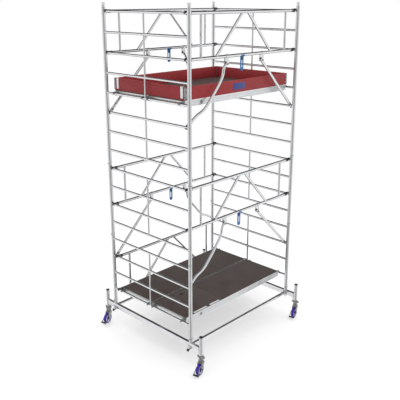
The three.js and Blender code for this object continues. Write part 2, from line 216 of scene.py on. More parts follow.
class Shape:
    """One mesh in the making, in millimetres. Its walls carry a map of girth and length.

    Below, every function with an `s` draws on the shape that it is given.
    """

    def __init__(self):
        self.mesh = bmesh.new()
        self.along = self.mesh.loops.layers.uv.new("along")

    def skin(self, rings, lengths, loop=False):
        """Joins rings of points into walls, and closes both ends unless they form a loop."""
        made = [[self.mesh.verts.new(p) for p in ring] for ring in rings]
        count = len(made[0])
        for high in range(0 if loop else 1, len(made)):
            low = high - 1
            for i in range(count):
                wall = ((low, i), (low, i + 1), (high, i + 1), (high, i))
                face = self.mesh.faces.new([made[ring][k % count] for ring, k in wall])
                for corner, (ring, k) in zip(face.loops, wall):
                    corner[self.along].uv = (k / count, lengths[ring] * MM)
        if not loop:
            self.mesh.faces.new(list(reversed(made[0])))
            self.mesh.faces.new(made[-1])

    def turned(self, start, way, profile, sides=24, loop=False, ribs=0.0):
        """A profile of (distance, radius) pairs turned about the line that leaves start."""
        start = Vector(start)
        way = Vector(way).normalized()
        u, v = across(way)
        rings = [
            [
                start + way * distance
                + (u * cos(a) + v * sin(a)) * (radius - ribs * (i % 2))
                for i, a in enumerate(circle(sides))
            ]
            for distance, radius in profile
        ]
        self.skin(rings, [distance for distance, _ in profile], loop)

    def tube(self, start, end, radius, sides=24, chamfer=0.8, ribs=0.0, bore=None):
        """A round bar with finely chamfered ends, or an open tube if it has a bore."""
        way = Vector(end) - Vector(start)
        length = way.length
        profile = [
            (0, radius - chamfer), (chamfer, radius),
            (length - chamfer, radius), (length, radius - chamfer),
        ]
        if bore:
            profile = [(0, bore), *profile, (length, bore)]
        self.turned(start, way, profile, sides, bool(bore), ribs)

    def swept(self, points, radius, sides=24, loop=False):
        """A round bar along a line of points."""
        line = [Vector(p) for p in points]
        last = len(line) - 1
        side = None
        rings = []
        lengths = []
        travelled = 0.0
        for k, point in enumerate(line):
            before = line[k - 1] if k or loop else point
            after = line[(k + 1) % len(line)] if k < last or loop else point
            way = (after - before).normalized()
            if side is None:
                side = across(way)[0]
            side = (side - way * side.dot(way)).normalized()
            up = way.cross(side)
            rings.append([
                point + (side * cos(a) + up * sin(a)) * radius for a in circle(sides)
            ])
            travelled += (point - line[k - 1]).length if k else 0.0
            lengths.append(travelled)
        self.skin(rings, lengths, loop)

    def block(self, corner, opposite, edge=1.0, segments=2):
        """A box with rounded edges between two opposite corners."""
        size = [abs(b - a) for a, b in zip(corner, opposite)]
        place = Matrix.Translation((Vector(opposite) + Vector(corner)) / 2)
        made = bmesh.ops.create_cube(self.mesh, matrix=place @ Matrix.Diagonal((*size, 1)))
        edges = list({e for v in made["verts"] for e in v.link_edges})
        bmesh.ops.bevel(
            self.mesh, geom=edges, offset=edge, segments=segments, affect="EDGES", profile=0.5
        )

    def plate(self, outline, low, high, plane=XZ, holes=(), edge=0.0):
        """A flat outline given depth from low to high, with its rims rounded by edge."""
        rims = []
        for points in (outline, *holes):
            corners = [self.mesh.verts.new((x, y, low)) for x, y in points]
            rims += [
                self.mesh.edges.new((a, b)) for a, b in zip(corners, corners[1:] + corners[:1])
            ]
        filled = bmesh.ops.triangle_fill(self.mesh, edges=rims, use_beauty=True)
        faces = [f for f in filled["geom"] if isinstance(f, bmesh.types.BMFace)]
        grown = bmesh.ops.extrude_face_region(self.mesh, geom=faces)
        raised = [v for v in grown["geom"] if isinstance(v, bmesh.types.BMVert)]
        bmesh.ops.translate(self.mesh, verts=raised, vec=(0, 0, high - low))
        verts = list({v for f in faces for v in f.verts} | set(raised))
        walls = list({f for v in verts for f in v.link_faces})
        bmesh.ops.recalc_face_normals(self.mesh, faces=walls)
        if edge:
            sharp = [
                e for e in {e for f in walls for e in f.edges}
                if e.is_manifold and e.calc_face_angle(0) > radians(50)
            ]
            made = bmesh.ops.bevel(
                self.mesh, geom=sharp, offset=edge, segments=2, affect="EDGES", profile=0.5,
                clamp_overlap=True,
            )
            verts = list({v for v in verts if v.is_valid} | set(made["verts"]))
        bmesh.ops.transform(self.mesh, matrix=plane, verts=verts)

    def cheeks(self, outline, inside, wall, edge):
        """The same upright plate on both sides of y = 0."""
        for y in (-inside - wall, inside):
            self.plate(outline, -y - wall, -y, edge=edge)

    def bolt_ends(self, x, face, z, *parts):
        """Turned parts on both sides of y = 0, each from its face outward."""
        for way in BOTH:
            for profile, sides in parts:
                self.turned((x, way * face, z), (0, way, 0), profile, sides)

    def repeated(self, angles, axis, draw):
        """What a call draws, turned about an axis to each of the angles."""
        for a in angles:
            before = set(self.mesh.verts)
            draw()
            fresh = [v for v in self.mesh.verts if v not in before]
            bmesh.ops.transform(self.mesh, matrix=Matrix.Rotation(a, 4, axis), verts=fresh)

    def bead(self, foot, way, radius, axis, big, size=2.0, sides=6, steps=18):
        """A weld bead where a tube that leaves `foot` along `way` comes out of a bigger tube."""
        way = Vector(way).normalized()
        axis = Vector(axis).normalized()
        u, v = across(way)
        line = []
        for a in circle(steps):
            rim = (u * cos(a) + v * sin(a)) * radius
            flat_rim = rim - axis * rim.dot(axis)
            flat_way = way - axis * way.dot(axis)
            square = flat_way.dot(flat_way)
            half = flat_rim.dot(flat_way)
            rest = max(half * half - square * (flat_rim.dot(flat_rim) - big * big), 0)
            line.append(Vector(foot) + rim + way * ((sqrt(rest) - half) / square))
        self.swept(line, size, sides, loop=True)


def make(draw, material, *given, turn=XY, smooth=38):
    """What a function draws on a new shape, as a mesh in metres with its creases kept sharp."""
    s = Shape()
    draw(s, *given)
    mesh = s.mesh
    bmesh.ops.recalc_face_normals(mesh, faces=mesh.faces)
    mesh.transform(Matrix.Scale(MM, 4) @ turn)
    data = bpy.data.meshes.new(draw.__name__)
    mesh.to_mesh(data)
    mesh.free()
    data.materials.append(material)
    data.shade_smooth()
    data.set_sharp_from_angle(angle=radians(smooth))
    return data


def at(x, y, z, half_turn=False):
    """The matrix that carries a shape's frame to a place in the tower's frame."""
    turn = Matrix.Rotation(pi, 4, "Z") if half_turn else XY
    return MAIN @ Matrix.Translation((x * MM, y * MM, z * MM)) @ turn


def placed(name, data):
    thing = bpy.data.objects.new(name, data)
    bpy.context.scene.collection.objects.link(thing)
    return thing


def add(name, data, place, body="tower", stands_for=None):
    """Puts a mesh in the scene as one piece, riding on a CAD body."""
    piece = placed(name, data)
    piece.matrix_world = place
    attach(piece, body)
    if stands_for:
        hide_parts(stands_for)


def add_each(where, place, *meshes):
    """Puts fixed meshes in one place, each piece named after its mesh and the place."""
    for data in meshes:
        add(f"{data.name}_{where}", data, place)


# ---- materials

class Nodes:
    """A short way to write the nodes of a new material, or of the world."""

    def __init__(self, name, world=None):
        self.owner = world or bpy.data.materials.new(name)
        self.owner.use_nodes = True
        self.tree = self.owner.node_tree
        self.shader = self.tree.nodes.get("Principled BSDF")

    def add(self, kind, inputs=None, out=0, **settings):
        """Adds a node and returns one of its outputs."""
        node = self.tree.nodes.new(f"ShaderNode{kind}")
        for key, value in settings.items():
            setattr(node, key, value)
        for key, value in (inputs or {}).items():
            self.put(node.inputs[key], value)
        return node.outputs[out]

    def put(self, socket, value):
        if isinstance(value, bpy.types.NodeSocket):
            self.tree.links.new(value, socket)
        else:
            socket.default_value = value

    def math(self, operation, a, b=0.0):
        return self.add("Math", {0: a, 1: b}, operation=operation)

    def wave(self, value, length):
        return self.math("SINE", self.math("MULTIPLY", value, tau / length))

    def noise(self, scale, detail=3.0, roughness=0.55, vector=None):
        inputs = {
            "Vector": vector or self.place(), "Scale": scale, "Detail": detail,
            "Roughness": roughness,
        }
        return self.add("TexNoise", inputs, "Fac")

    def span(self, value, low, high, start=0.3, stop=0.7):
        """A value from start to stop carried to low and high."""
        return self.add("MapRange", dict(enumerate((value, start, stop, low, high))))

    def blend(self, share, first, second):
        inputs = {"Factor": share, "A": first, "B": second}
        return self.add("Mix", inputs, "Result", data_type="RGBA")

    def mixed(self, value, first, second, *limits):
        """Two colours, mixed by what a value comes to when it is spread between limits."""
        return self.blend(self.span(value, *(limits or (0.0, 1.0))), first, second)

    def place(self):
        """The piece's own coordinates in metres, shifted for each piece so that no two match."""
        shift = self.math("MULTIPLY", self.add("ObjectInfo", out="Random"), 7.0)
        place = self.add("TexCoord", out="Object")
        return self.add("VectorMath", {0: place, 1: shift}, operation="ADD")

    def stretched(self, vector, scale):
        return self.add("VectorMath", {0: vector, 1: scale}, operation="MULTIPLY")

    def part(self, vector, axis):
        return self.add("SeparateXYZ", {0: vector}, axis)

    def streaks(self, girth, length):
        """A seamless place on a tube's wall, drawn out along its length."""
        wall = self.add("UVMap", uv_map="along")
        angle = self.math("MULTIPLY", self.part(wall, "X"), tau)
        x = self.math("MULTIPLY", self.math("COSINE", angle), girth)
        y = self.math("MULTIPLY", self.math("SINE", angle), girth)
        z = self.math("MULTIPLY", self.part(wall, "Y"), length)
        shift = self.math("MULTIPLY", self.add("ObjectInfo", out="Random"), 9.0)
        return self.add("CombineXYZ", {0: x, 1: y, 2: self.math("ADD", z, shift)})

    def bump(self, height, distance, strength=0.5):
        return self.add("Bump", {"Height": height, "Distance": distance, "Strength": strength})

    def finish(self, colour, roughness, normal=None, metallic=0.0, **others):
        others |= {"Base_Color": colour, "Roughness": roughness, "Metallic": metallic}
        if normal:
            others["Normal"] = normal
        for key, value in others.items():
            self.put(self.shader.inputs[key.replace("_", " ")], value)
        return self.owner


def grey(value, tint=(1.0, 1.0, 1.0)):
    return (value * tint[0], value * tint[1], value * tint[2], 1.0)


def cool(value):
    return grey(value, (0.985, 0.995, 1.01))


def aluminium_tube():
    """Drawn tube as it leaves the mill: fine die lines along it and a patchy dull film."""
    n = Nodes("mill_aluminium")
    lines = n.noise(1.0, 4.0, 0.7, n.streaks(9.0, 1.6))
    fine = n.noise(1.0, 2.0, vector=n.streaks(26.0, 5.0))
    film = n.noise(9.0, 4.0, 0.6)
    colour = n.mixed(film, cool(0.70), cool(0.82))
    shaded = n.mixed(lines, colour, cool(0.55), 0.0, 0.35)
    rough = n.math("ADD", n.span(lines, 0.12, 0.20), n.span(film, 0.0, 0.08))
    return n.finish(shaded, rough, n.bump(fine, 0.0002), 1.0)


def aluminium_profile(name, metallic):
    """Extruded flat faces: the same metal, with its lines run along X."""
    n = Nodes(name)
    lines = n.noise(4.0, 4.0, 0.7, n.stretched(n.place(), (1.5, 60.0, 60.0)))
    film = n.noise(7.0, 4.0, 0.6)
    colour = n.mixed(film, cool(0.66), cool(0.78))
    shaded = n.mixed(lines, colour, cool(0.52), 0.0, 0.3)
    rough = n.math("ADD", n.span(lines, 0.22, 0.34), n.span(film, 0.0, 0.10))
    return n.finish(shaded, rough, n.bump(lines, 0.0002), metallic)


def weld_metal():
    """A weld bead: scaled ripples and a slightly duller, darker face."""
    n = Nodes("weld_bead")
    ripple = n.wave(n.part(n.add("UVMap", uv_map="along"), "Y"), 0.0026)
    grain = n.noise(300.0)
    colour = n.mixed(grain, cool(0.42), cool(0.62))
    normal = n.bump(n.math("ADD", ripple, grain), 0.0005, 0.7)
    return n.finish(colour, 0.42, normal, 1.0)


def cast_metal(name, dark, light):
    """Cast claws: dull grey with a grained skin and brighter rubbed patches."""
    n = Nodes(name)
    patch = n.noise(45.0)
    colour = n.mixed(patch, cool(dark), cool(light))
    normal = n.bump(n.noise(700.0), 0.0004, 0.6)
    return n.finish(colour, n.span(patch, 0.52, 0.38), normal, 0.85)


def zinc_steel():
    """Zinc-plated steel, with the faint spangle of its coating."""
    n = Nodes("zinc_steel")
    spangle = n.add("TexVoronoi", {"Vector": n.place(), "Scale": 140.0}, "Color")
    shade = n.add("SeparateColor", {0: spangle})
    dust = n.noise(30.0, 4.0)
    colour = n.blend(shade, grey(0.31, (1.0, 1.0, 0.99)), grey(0.46, (0.99, 1.0, 1.01)))
    dulled = n.mixed(dust, colour, grey(0.20, (1.02, 1.0, 0.97)), 0.0, 0.4)
    rough = n.math("ADD", n.span(shade, 0.28, 0.42, 0.0, 1.0), n.span(dust, 0.0, 0.14))
    return n.finish(dulled, rough, n.bump(n.noise(420.0), 0.0003, 0.4), 1.0)


def moulded(name, dark, light, roughness):
    """Moulded plastic: a fine grain, and a slight unevenness in its colour and gloss."""
    n = Nodes(name)
    cloud = n.noise(24.0)
    colour = n.mixed(cloud, (*dark, 1.0), (*light, 1.0))
    rough = n.span(cloud, roughness - 0.05, roughness + 0.07)
    return n.finish(colour, rough, n.bump(n.noise(900.0, 2.0), 0.00025), IOR=1.48)


def painted_steel():
    """Dark coated pressed steel, rubbed to the metal in specks."""
    n = Nodes("pedal_coating")
    wear = n.noise(160.0, 6.0, 0.7)
    cloud = n.noise(35.0)
    colour = n.mixed(cloud, grey(0.045), grey(0.085, (1.0, 1.0, 1.06)))
    worn = n.mixed(wear, colour, grey(0.32), 0.0, 1.0, 0.64, 0.70)
    return n.finish(worn, n.span(cloud, 0.38, 0.5), n.bump(wear, 0.0003), 0.55)


def deck_film():
    """The anti-slip face of a phenolic board: a fine wire-mesh print and light scuffs."""
    n = Nodes("deck_film")
    place = n.place()
    wires = [n.math("ABSOLUTE", n.wave(n.part(place, axis), 0.0104)) for axis in "XY"]
    scuffs = n.noise(5.0, 6.0, 0.65)
    colour = n.mixed(scuffs, (0.047, 0.034, 0.031, 1.0), (0.075, 0.055, 0.050, 1.0))
    dusty = n.mixed(n.noise(260.0), colour, (0.16, 0.14, 0.13, 1.0), 0.0, 0.25, 0.5, 0.8)
    normal = n.bump(n.span(n.math("MINIMUM", *wires), 0.0, 1.0, 0.05, 0.4), 0.0005)
    return n.finish(dusty, n.span(scuffs, 0.42, 0.6), normal, IOR=1.5)


def board_edge():
    """The sawn edge of a board: its thin layers, sealed with brown paint."""
    n = Nodes("board_edge")
    layers = n.wave(n.part(n.place(), "Z"), 0.0026)
    brown = ((0.060, 0.040, 0.030, 1.0), (0.125, 0.080, 0.052, 1.0))
    colour = n.mixed(layers, *brown, 0.0, 1.0, -1.0, 1.0)
    darker = n.mixed(n.noise(60.0, 5.0, 0.7), colour, (0.040, 0.028, 0.024, 1.0), 0.0, 0.5)
    return n.finish(darker, 0.7, n.bump(layers, 0.0002, 0.4))


def red_film():
    """A red filmed board, with faint wood grain telegraphing through the film."""
    n = Nodes("red_film")
    grain = n.noise(5.0, 6.0, 0.7, n.stretched(n.place(), (1.2, 1.2, 34.0)))
    cloud = n.noise(3.0, 4.0)
    colour = n.mixed(cloud, (0.245, 0.026, 0.030, 1.0), (0.305, 0.036, 0.040, 1.0))
    veined = n.mixed(grain, colour, (0.17, 0.018, 0.022, 1.0), 0.0, 0.35)
    normal = n.bump(grain, 0.0005, 0.3)
    return n.finish(veined, n.span(grain, 0.36, 0.5), normal, Specular_IOR_Level=0.22)


def dark_inside():
    """Painted shade for the inside of an open tube: a dark, dull lining, a little uneven in tone.
    """
    n = Nodes("tube_inside")
    colour = n.mixed(n.noise(80.0, 4.0), grey(0.05), grey(0.12))
    return n.finish(colour, 0.7, metallic=0.5)


TUBE = aluminium_tube()
PROFILE = aluminium_profile("extruded_aluminium", 1.0)
SATIN = aluminium_profile("satin_aluminium", 0.3)
WELD = weld_metal()
CAST = cast_metal("cast_aluminium", 0.20, 0.38)
DARK_CAST = cast_metal("coated_casting", 0.045, 0.13)
ZINC = zinc_steel()
BLACK = moulded("black_plastic", (0.012, 0.012, 0.013), (0.026, 0.026, 0.028), 0.42)
BLUE = moulded("blue_plastic", (0.008, 0.10, 0.28), (0.012, 0.14, 0.36), 0.34)
# Tread and rim are one indigo tyre in two copies: the tread lighter as where it is lit, the rim
# much darker, painted shade on the tyre's side walls and hub
TREAD = moulded("wheel_tread", (0.022, 0.010, 0.24), (0.034, 0.016, 0.34), 0.38)
DISC = moulded("wheel_disc", (0.50, 0.47, 0.78), (0.62, 0.59, 0.86), 0.4)
RIM_SHADE = moulded("wheel_rim", (0.016, 0.012, 0.075), (0.028, 0.022, 0.11), 0.36)
LABEL = moulded("plain_label", (0.022, 0.030, 0.15), (0.030, 0.045, 0.20), 0.3)
PEDAL = painted_steel()
FILM = deck_film()
EDGE = board_edge()
RED = red_film()
# A dark lining that paints the shade inside the open post tops
INSIDE = dark_inside()


# ---- ladder frames

def ladder_tubes(s, bottom, top, rungs):
    for side in BOTH:
        y = side * BAY_Y
        s.tube((0, y, bottom + SEAM_GAP), (0, y, top), STANDARD, 32, chamfer=1.2)
    for z in rungs:
        s.tube((0, -BAY_Y, z), (0, BAY_Y, z), RUNG, 48, ribs=0.15)
    s.tube((0, 0, rungs[-1]), (0, 0, rungs[0]), STILE, 20)


def ladder_welds(s, rungs):
    for z in rungs:
        for side in BOTH:
            s.bead((0, side * BAY_Y, z), (0, -side, 0), RUNG, UP, STANDARD)
        for way in BOTH:
            if z != rungs[-1 if way < 0 else 0]:
                s.bead((0, 0, z), (0, 0, way), STILE, (0, 1, 0), RUNG, size=1.8)


def spigots(s):
    """The two narrower open ends on top of a ladder frame, each with its clip hole."""
    length = SPIGOT_LENGTH
    steps = ((0, 1.6), (1.5, 1.6), (3, 0), (length - 3, 0), (length, -2), (length, -4), (12, -4))
    profile = [(z, SPIGOT + step) for z, step in steps]
    for side in BOTH:
        y = side * BAY_Y
        s.turned((0, y, LADDER_TOP), UP, profile, 28)
        for way in BOTH:
            mouth = (way * (SPIGOT - 1.5), y, LADDER_TOP + 22)
            s.turned(mouth, (way, 0, 0), [(0, 5.5), (1.9, 5.5)], 16)


def locking_clip(s):
    """A spring clip: a pin through the standard, and a bow that snaps round it."""
    reach = STANDARD + 12
    bow = [(x, y, 0) for x, y in arc(0, 0, STANDARD + 4, 20, 160, 14)]
    s.tube((-reach, 0, 0), (reach - 4, 0, 0), 4.5, 14)
    s.swept(smooth_line([
        (-reach + 3, 0, 0), (-reach - 1, 6, 0), *reversed(bow), (STANDARD + 5, 3, 3),
    ], 2), 1.9, 8)


def add_ladders():
    tops = make(spigots, TUBE)
    clip = make(locking_clip, ZINC)
    for level, (bottom, top) in JOINTS.items():
        rungs = [z for z in RUNGS if bottom < z < top]
        tubes = make(ladder_tubes, TUBE, bottom, top, rungs)
        welds = make(ladder_welds, WELD, rungs)
        for end, sign in ENDS.items():
            place = at(sign * BAY_X, 0, 0)
            where = f"{end}_{level}"
            add(f"ladder_{where}", tubes, place, stands_for=f"ladder_frame_{where}")
            add(f"ladder_welds_{where}", welds, place)
            if top == LADDER_TOP:
                add_each(end, place, tops)
        for corner, x, y in CORNERS:
            place = at(x * BAY_X, y * BAY_Y, bottom + CLIP_HEIGHT, y < 0)
            add_each(f"{corner}_{level}", place, clip)


# ---- base

def base_beam(s):
    """The rectangular beam, the two posts and the stubs that the ladders stand on."""
    half = BEAM_WIDTH / 2
    reach = POST_PLACE - STANDARD_BORE
    s.block((-half, -reach, BEAM_BOTTOM), (half, reach, BEAM_TOP), edge=5, segments=4)
    for side in BOTH:
        y = side * POST_PLACE
        s.tube((0, y, POST_BOTTOM), (0, y, POST_TOP), STANDARD, 32, bore=STANDARD_BORE)
        y = side * BAY_Y
        s.tube((0, y, BEAM_TOP - 3), (0, y, LADDER_FOOT), STANDARD, 32, 1.2)


def post_linings(s):
    """A dark lining inside the open tops of the posts, as painted shade: walls down to a floor."""
    for side in BOTH:
        foot = (0, side * POST_PLACE, POST_TOP - 1 - LINING_DEPTH)
        lining = [
            (0, 3), (0, 20.4), (LINING_DEPTH, 20.4), (LINING_DEPTH, 19.6), (2, 19.4), (2, 3),
        ]
        s.turned(foot, UP, lining, 28, loop=True)
        s.turned(foot, UP, [(0.5, 4), (1.5, 3.5)], 12)


def post_rings(s):
    """The black protecting rings on top of the posts."""
    for side in BOTH:
        ring = [(-6, 24.1), (-6, 24.7), (1.8, 24.7), (3, 23.6), (3, 20.2), (0, 19.7), (0, 24.1)]
        s.turned((0, side * POST_PLACE, POST_TOP), UP, ring, 32, loop=True)


def base_gussets(s):
    """The gussets between the undersides of the beam and its posts."""
    for side in BOTH:
        outline = [
            (side * (POST_PLACE - y), BEAM_BOTTOM + z)
            for y, z in ((20, 1), (20, -34), (45, -34), (86, 1))
        ]
        s.plate(outline, -3, 3, YZ, edge=0.8)


def base_welds(s):
    """Beads round the beam at its posts, round the feet of the stubs and along the gussets."""
    corners = oblong(-BEAM_WIDTH / 2, BEAM_WIDTH / 2, BEAM_TOP, BEAM_BOTTOM)
    steps = 8
    line = [
        (a + (c - a) * i / steps, b + (d - b) * i / steps)
        for (a, b), (c, d) in zip(corners, corners[1:] + corners[:1]) for i in range(steps)
    ]
    for side in BOTH:
        wrapped = [
            (x, side * (POST_PLACE - sqrt(STANDARD ** 2 - x * x)), z) for x, z in line
        ]
        s.swept(wrapped, WELD_SIZE, 6, loop=True)
        for start in (40, 220):
            rim = arc(0, side * BAY_Y, STANDARD + 0.5, start, start + 100, 12)
            s.swept([(x, y, BEAM_TOP + 0.6) for x, y in rim], WELD_SIZE, 6)
        for x in (-3.5, 3.5):
            y = side * (POST_PLACE - STANDARD)
            s.swept([(x, y, BEAM_BOTTOM - 32), (x, y, BEAM_BOTTOM - 2)], 1.8, 6)
            end = side * (POST_PLACE - 84)
            s.swept([(x, y, BEAM_BOTTOM - 0.5), (x, end, BEAM_BOTTOM - 0.5)], 1.8, 6)


def base_strut(s):
    reach = BAY_X - SADDLE_OUTSIDE
    s.tube((-reach, 0, STRUT_HEIGHT), (reach, 0, STRUT_HEIGHT), STRUT, 32)


def strut_saddle(s):
    """The claw under a beam, about the beam's middle, with its inner cheek at -X."""
    face = SADDLE_FACE
    outside = SADDLE_OUTSIDE
    seat = BEAM_BOTTOM - SEAM_GAP
    foot = seat - SADDLE_WALL
    half = SADDLE_WIDTH / 2
    outline = [
        (-outside, STRUT_HEIGHT + STRUT), (-face, STRUT_HEIGHT + STRUT), (-face, seat),
        (face, seat), (face, seat + 27), (outside, seat + 27), (outside, foot), (-outside, foot),
    ]
    s.plate(outline, -half, half, edge=1.8)
    boss = [(0, 12), (2, 14), (2 * outside - 2, 14), (2 * outside, 12)]
    s.turned((-outside, 0, SCREW_HEIGHT), (1, 0, 0), boss)
    collar = [(0, STRUT + 4), (14, STRUT + 4), (18, STRUT + 0.5)]
    s.turned((-outside + 2, 0, STRUT_HEIGHT), (-1, 0, 0), collar, 28)
    root = -outside + 1
    rib = [(root, foot + 6), (-outside - 20, STRUT_HEIGHT), (root, STRUT_HEIGHT)]
    for y in (-half + 5, half - 5):
        s.plate(rib, -y - 2.5, -y + 2.5, edge=0.6)


def star_knob(s):
    """The clamping screw's star knob, about the saddle's outer face, facing +X."""
    x = SADDLE_OUTSIDE
    s.tube((x - 2, 0, 0), (x + 16, 0, 0), 6, 16)
    outline = []
    for a in circle(40):
        radius = 17.5 + 3.5 * cos(5 * a)
        outline.append((cos(a) * radius, sin(a) * radius))
    s.plate(outline, x + 14, x + 28, YZ, edge=2.0)
    s.turned((x + 27, 0, 0), (1, 0, 0), [(0, 9), (2.5, 8.4), (4, 6)], 20)


def add_base():
    beam = make(base_beam, TUBE)
    fittings = [
        make(post_linings, INSIDE), make(post_rings, BLACK),
        make(base_gussets, PROFILE), make(base_welds, WELD),
    ]
    for end, sign in ENDS.items():
        place = at(sign * BAY_X, 0, 0)
        add(f"base_beam_{end}", beam, place, stands_for=f"base_beam_{end}")
        add_each(end, place, *fittings)
    strut = make(base_strut, TUBE)
    for side, sign in SIDES.items():
        place = at(0, sign * BAY_Y, 0)
        add(f"base_strut_{side}", strut, place, stands_for=f"base_strut_{side}")
    saddle = make(strut_saddle, PROFILE)
    knob = make(star_knob, BLACK)
    for corner, x, y in CORNERS:
        for data, height in ((saddle, 0), (knob, SCREW_HEIGHT)):
            add_each(corner, at(x * BAY_X, y * BAY_Y, height, x < 0), data)


# ---- casters

def caster_tread(s):
    """The running face of a tyre about its own axle, along Y."""
    crown = [(y, WHEEL - 0.9 * (y / 12) ** 2) for y in (-12, -8, -4, 0, 4, 8, 12)]
    profile = [(-16, 66), (-16, 73.1), *crown, (16, 73.1), (16, 66)]
    s.turned((0, 0, 0), (0, 1, 0), profile, 64, loop=True)


def caster_disc(s):
    """The wheel's body: a dished disc with six ribs on both faces."""
    profile = [
        (-13, 27), (-11.5, 31), (-11.5, 54), (-17, 59), (-17, 61), (17, 61), (17, 59),
        (11.5, 54), (11.5, 31), (13, 27),
    ]
    s.turned((0, 0, 0), (0, 1, 0), profile, 48, loop=True)
    for face in BOTH:
        low, high = (26, face * 11, -3.2), (57, face * 15.5, 3.2)
        s.repeated(circle(6), "Y", lambda: s.block(low, high, edge=1.2))


def caster_rims(s):
    """A tyre's shoulders and side walls, and the hub round its axle, in a darker copy of the
    tread's indigo: painted shade on the tyre's sides.
    """
    wall = [
        (16, 73.1), (18.4, 71.4), (20, 68.5), (20.6, 65), (20.2, 62), (18.6, 60), (16, 60.5),
    ]
    for way in BOTH:
        s.turned((0, 0, 0), (0, way, 0), wall, 64, loop=True)
    hub = [(-22.8, 10), (-22.8, 21), (-20.5, 24), (-12, 28)]
    hub += [(-y, radius) for y, radius in reversed(hub)]
    s.turned((0, 0, 0), (0, 1, 0), hub, 40, loop=True)


def caster_fork(s):
    """The pressed fork, with its swivel bearing on top. X points to the pedal."""
    leg = [
        (-32, 168), (-32, 152), (-22, 138), *arc(WHEEL_OFFSET, WHEEL, 15, 200, 355, 12),
        (40, 140), (40, 168),
    ]
    s.cheeks(leg, FORK_INSIDE, FORK_WALL, 1.0)
    s.block((-32, -FORK_OUTSIDE, 159), (40, FORK_OUTSIDE, 170), edge=4, segments=4)
    race = [
        (0, 33), (4, 34), (7, 34), (8.5, 32), (10, 32), (11.5, 34), (15, 34), (18, 31), (20, 27),
    ]
    s.turned((0, 0, 170), UP, race, 40)


def caster_axle_bolt(s):
    """The axle, with a washer, a hexagon nut and a thread's end on both sides."""
    x, z = WHEEL_OFFSET, WHEEL
    s.tube((x, -FORK_OUTSIDE, z), (x, FORK_OUTSIDE, z), 8, 20)
    washer = [(-0.5, 13), (1.6, 13), (2, 12.6)]
    nut = [(1.8, 10.6), (7.5, 10.6), (9, 9.2)]
    tip = [(8, 5.5), (12, 5.5), (13, 4.5)]
    s.bolt_ends(x, FORK_OUTSIDE, z, (washer, 24), (nut, 6), (tip, 16))


def caster_spindle(s):
    """The threaded leg, with its foot collar."""
    profile = [(0, 24.5), (1.5, 26), (20, 26), (23, 23), (23.1, 18)]
    for turn in range(30):
        low = 25 + turn * THREAD_PITCH
        profile += [(low, 18), (low + 2.4, 18), (low + 4, 15.8), (low + 6.4, 15.8)]
    profile += [(270, 18), (278, 18), (279.7, 16.5)]
    s.turned((0, 0, 190.3), UP, profile, 20)


def caster_nut(s):
    """The levelling nut: a cast collar with four lugs to turn it by."""
    low = 214
    high = POST_BOTTOM - SEAM_GAP
    height = high - low
    collar = [
        (0, 19.8), (0, 27), (2, 30), (6, 30), (9, 28.5), (height - 9, 28.5), (height - 6, 30),
        (height - 2, 30), (height, 27), (height, 19.8),
    ]
    s.turned((0, 0, low), UP, collar, 40, loop=True)
    lug = [(26, -8), *arc(45.5, 0, 7, -90, 90, 8), (26, 8)]
    s.repeated(circle(4), "Z", lambda: s.plate(lug, low + 6, high - 6, XY, edge=2.0))


def caster_pedal(s):
    """The brake pedal: two arms and a ribbed tread between them."""
    arm = [
        (42, 88), (42, 101), (45, 104.5), (51, 107), (56, 106.5), (88, 78), (112, 57), (139, 49),
        (142, 44), (142, 36), (139, 33), (113, 34), (102, 48), (80, 68), (56, 86),
    ]
    s.cheeks(arm, PEDAL_INSIDE, FORK_WALL, 0.9)
    reach = PEDAL_INSIDE + FORK_WALL - 1
    s.block((114, -reach, 34), (141, reach, 45), edge=2.5, segments=3)
    for x in (119, 125, 131, 137):
        s.block((x - 1.3, -30, 44), (x + 1.3, 30, 47), edge=0.7)


def add_casters():
    turn = Matrix.Rotation(CASTER_TURN, 4, "Z")
    wheel = turn @ Matrix.Translation((WHEEL_OFFSET, 0, WHEEL))
    kinds = [
        (caster_tread, TREAD, wheel, "caster_wheel", True),
        (caster_disc, DISC, wheel, "caster_wheel", False),
        (caster_rims, RIM_SHADE, wheel, "caster_wheel", False),
        (caster_fork, ZINC, turn, "caster_fork", True),
        (caster_axle_bolt, ZINC, turn, "caster_fork", False),
        (caster_spindle, ZINC, turn, "spindle", True),
        (caster_nut, ZINC, turn, "levelling_nut", True),
        (caster_pedal, PEDAL, turn, "brake_pedal", True),
    ]
    for draw, material, turned, owner, replaces in kinds:
        data = make(draw, material, turn=turned)
        for corner, x, y in CORNERS:
            place = at(x * BAY_X, y * POST_PLACE, 0)
            body = f"{owner}_{corner}"
            add(f"{data.name}_{corner}", data, place, body, body if replaces else None)


# ---- guardrails and braces

def claw(s, x, z, start, stop, y=0):
    """The cast jaw that hooks on a rung whose axis is at x, z, with its raised middle."""
    for inset, turn, rise, steps, edge in ((0, 0, 0, 20, 1.5), (2.5, 14, 1.5, 16, 0.8)):
        radii = CLAW_OUTER - inset, CLAW_INNER + inset
        half = CLAW_WIDTH / 2 + rise
        outline = band(x, z, *radii, start + turn, stop - turn, steps)
        s.plate(outline, -y - half, -y + half, edge=edge)


def latch(s, x, z, start, stop, y=0):
    """The spring latch that closes part of a claw's mouth."""
    outline = band(x, z, CLAW_OUTER - 1.5, CLAW_INNER + 0.6, start, stop, 8)
    s.plate(outline, -y - 5.5, -y + 5.5, edge=1.0)


def end_latch(s, end, z, sweep, y=0):
    start = 204 if end > 0 else -24
    latch(s, end * BAY_X, z, start, start + end * sweep, y)


# A guardrail's posts and diagonals: where they meet the lower and the upper rail, and their radius
GUARD_BARS = [(x, x, GUARD_POST) for x in GUARD_POSTS]
GUARD_BARS += [(end * DIAGONAL_FOOT, end * DIAGONAL_TOP, GUARD_DIAGONAL) for end in BOTH]


def guard_tubes(s):
    reach = BAY_X - CLAW_OUTER + 3
    for z in (0, GUARD_HEIGHT):
        s.tube((-reach, 0, z), (reach, 0, z), RAIL, 32)
    for low, high, radius in GUARD_BARS:
        s.tube((low, 0, 0), (high, 0, GUARD_HEIGHT), radius)


